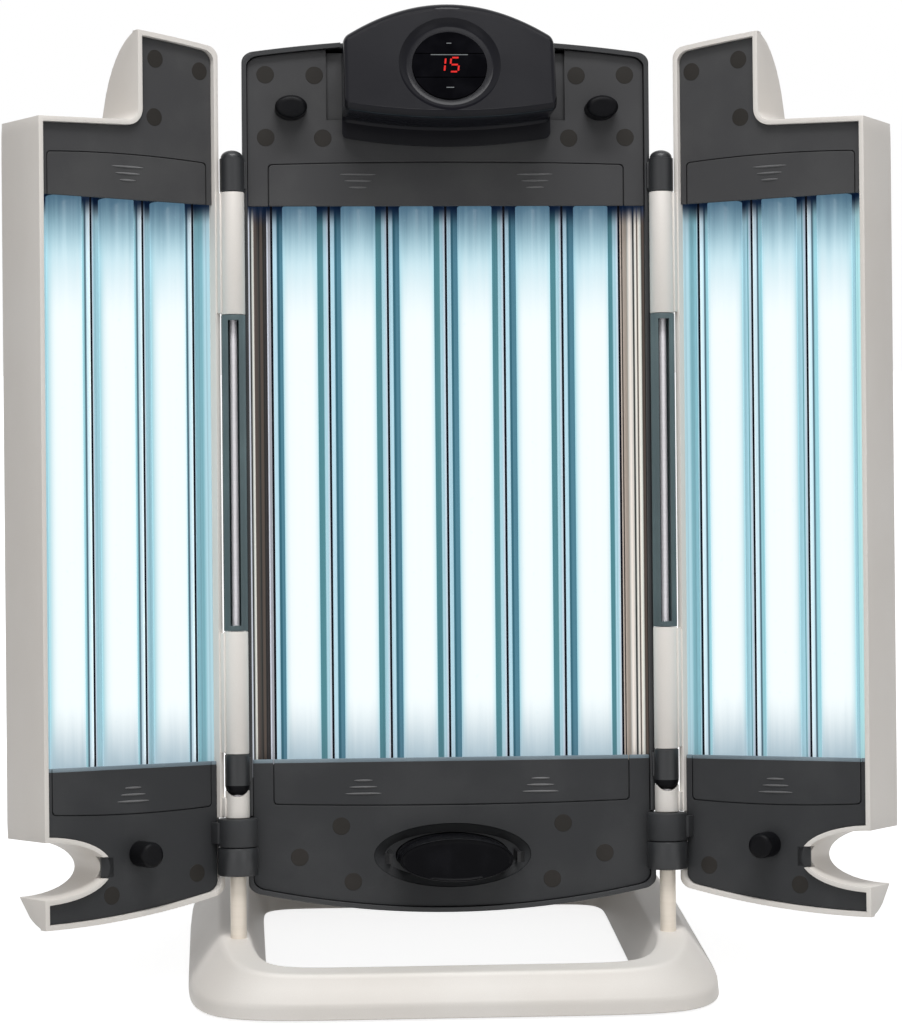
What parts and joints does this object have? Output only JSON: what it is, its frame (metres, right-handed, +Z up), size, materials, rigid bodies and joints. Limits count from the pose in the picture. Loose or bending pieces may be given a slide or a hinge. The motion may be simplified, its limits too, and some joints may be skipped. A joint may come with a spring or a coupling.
{
  "type": "facial tanner",
  "caption": "Free-standing facial tanner: a leaning centre panel of fluorescent tubes with two hinged wing panels of tubes, a timer pod, a push-button latch and a loop base.",
  "frame": {"origin": "on the floor, in the middle of the base loop and of the whole outline", "axes": "+Z up, the lamps face -Y, +X to the right of a person looking at the lamps"},
  "size_m": [0.6564, 0.3888, 0.732],
  "materials": {
    "pearl": "pearl champagne satin",
    "dark": "fine matt",
    "slate": "satin",
    "pod": "satin",
    "gloss": "gloss",
    "rubber": "matt",
    "lamp": "phosphor-coated tube",
    "mirror": "bright rolled sheet",
    "steel": "plated",
    "holder": "satin",
    "board": "solder mask"
  },
  "bodies": {
    "stand": {"base_frame": "pearl", "centre_ballast_left": "steel", "centre_ballast_right": "steel", "centre_bottom_lampholders": "holder", "centre_bottom_liner": "dark", "centre_bumper_left": "rubber", "centre_bumper_right": "rubber", "centre_lamp_1": "lamp", "centre_lamp_2": "lamp", "centre_lamp_3": "lamp", "centre_lamp_4": "lamp", "centre_lamp_5": "lamp", "centre_lamp_6": "lamp", "centre_reflector": "mirror", "centre_shell": "dark", "centre_top_lampholders": "holder", "centre_top_liner": "dark", "display_lens": "gloss", "foot_front_left": "rubber", "foot_front_right": "rubber", "foot_rear_left": "rubber", "foot_rear_right": "rubber", "hinge_post_left": "steel", "hinge_post_right": "steel", "mains_inlet": "rubber", "pod_housing": "pod", "timer_board": "board"},
    "left_wing": {"left_wing_bottom_lampholders": "holder", "left_wing_bottom_liner": "dark", "left_wing_bumper": "rubber", "left_wing_hinge_insert": "slate", "left_wing_lamp_1": "lamp", "left_wing_lamp_2": "lamp", "left_wing_lamp_3": "lamp", "left_wing_reflector": "mirror", "left_wing_shell": "pearl", "left_wing_top_lampholders": "holder", "left_wing_top_liner": "dark"},
    "right_wing": {"right_wing_bottom_lampholders": "holder", "right_wing_bottom_liner": "dark", "right_wing_bumper": "rubber", "right_wing_hinge_insert": "slate", "right_wing_lamp_1": "lamp", "right_wing_lamp_2": "lamp", "right_wing_lamp_3": "lamp", "right_wing_reflector": "mirror", "right_wing_shell": "pearl", "right_wing_top_lampholders": "holder", "right_wing_top_liner": "dark"},
    "open_button": {"open_button": "gloss"},
    "latch_hook_left": {"latch_hook_left": "dark"},
    "latch_hook_right": {"latch_hook_right": "dark"},
    "timer_up_button": {"timer_up_button": "gloss"},
    "timer_down_button": {"timer_down_button": "gloss"},
    "centre_bottom_lamp_cover": {"centre_bottom_lamp_cover": "dark"},
    "centre_top_lamp_cover": {"centre_top_lamp_cover": "dark"},
    "left_wing_bottom_lamp_cover": {"left_wing_bottom_lamp_cover": "dark"},
    "left_wing_top_lamp_cover": {"left_wing_top_lamp_cover": "dark"},
    "right_wing_bottom_lamp_cover": {"right_wing_bottom_lamp_cover": "dark"},
    "right_wing_top_lamp_cover": {"right_wing_top_lamp_cover": "dark"}
  },
  "joints": [
    {"name": "left_wing_swing", "type": "hinge", "parent": "stand", "child": "left_wing", "pos_m": [-0.1605, -0.1155, 0.04], "axis": [0, 0.1357, 0.9907], "range_deg": [-32.5, 147.5]},
    {"name": "right_wing_swing", "type": "hinge", "parent": "stand", "child": "right_wing", "pos_m": [0.1605, -0.1155, 0.04], "axis": [0, -0.1357, -0.9907], "range_deg": [-32.5, 147.5]},
    {"name": "open_press", "type": "slide", "parent": "stand", "child": "open_button", "axis": [0, 0.9907, -0.1357], "range_m": [0, 0.004], "stiffness_N_per_m": 500, "springref_m": -0.002},
    {"name": "latch_left_slide", "type": "slide", "parent": "stand", "child": "latch_hook_left", "axis": [1, 0, 0], "range_m": [0, 0.0035]},
    {"name": "latch_right_slide", "type": "slide", "parent": "stand", "child": "latch_hook_right", "axis": [-1, 0, 0], "range_m": [0, 0.0035]},
    {"name": "timer_up_press", "type": "slide", "parent": "stand", "child": "timer_up_button", "axis": [0, 0.9003, -0.4352], "range_m": [0, 0.001], "stiffness_N_per_m": 800, "springref_m": -0.0005},
    {"name": "timer_down_press", "type": "slide", "parent": "stand", "child": "timer_down_button", "axis": [0, 0.9003, -0.4352], "range_m": [0, 0.001], "stiffness_N_per_m": 800, "springref_m": -0.0005},
    {"name": "centre_bottom_lamp_cover_slide", "type": "slide", "parent": "stand", "child": "centre_bottom_lamp_cover", "axis": [0, 0.1357, 0.9907], "range_m": [0, 0.005]},
    {"name": "centre_top_lamp_cover_slide", "type": "slide", "parent": "stand", "child": "centre_top_lamp_cover", "axis": [0, -0.1357, -0.9907], "range_m": [0, 0.005]},
    {"name": "left_wing_bottom_lamp_cover_slide", "type": "slide", "parent": "left_wing", "child": "left_wing_bottom_lamp_cover", "axis": [0, 0.1357, 0.9907], "range_m": [0, 0.005]},
    {"name": "left_wing_top_lamp_cover_slide", "type": "slide", "parent": "left_wing", "child": "left_wing_top_lamp_cover", "axis": [0, -0.1357, -0.9907], "range_m": [0, 0.005]},
    {"name": "right_wing_bottom_lamp_cover_slide", "type": "slide", "parent": "right_wing", "child": "right_wing_bottom_lamp_cover", "axis": [0, 0.1357, 0.9907], "range_m": [0, 0.005]},
    {"name": "right_wing_top_lamp_cover_slide", "type": "slide", "parent": "right_wing", "child": "right_wing_top_lamp_cover", "axis": [0, -0.1357, -0.9907], "range_m": [0, 0.005]}
  ],
  "couplings": [
    {"joint": "latch_left_slide", "follows": "open_press", "ratio": 0.875},
    {"joint": "latch_right_slide", "follows": "open_press", "ratio": 0.875}
  ]
}
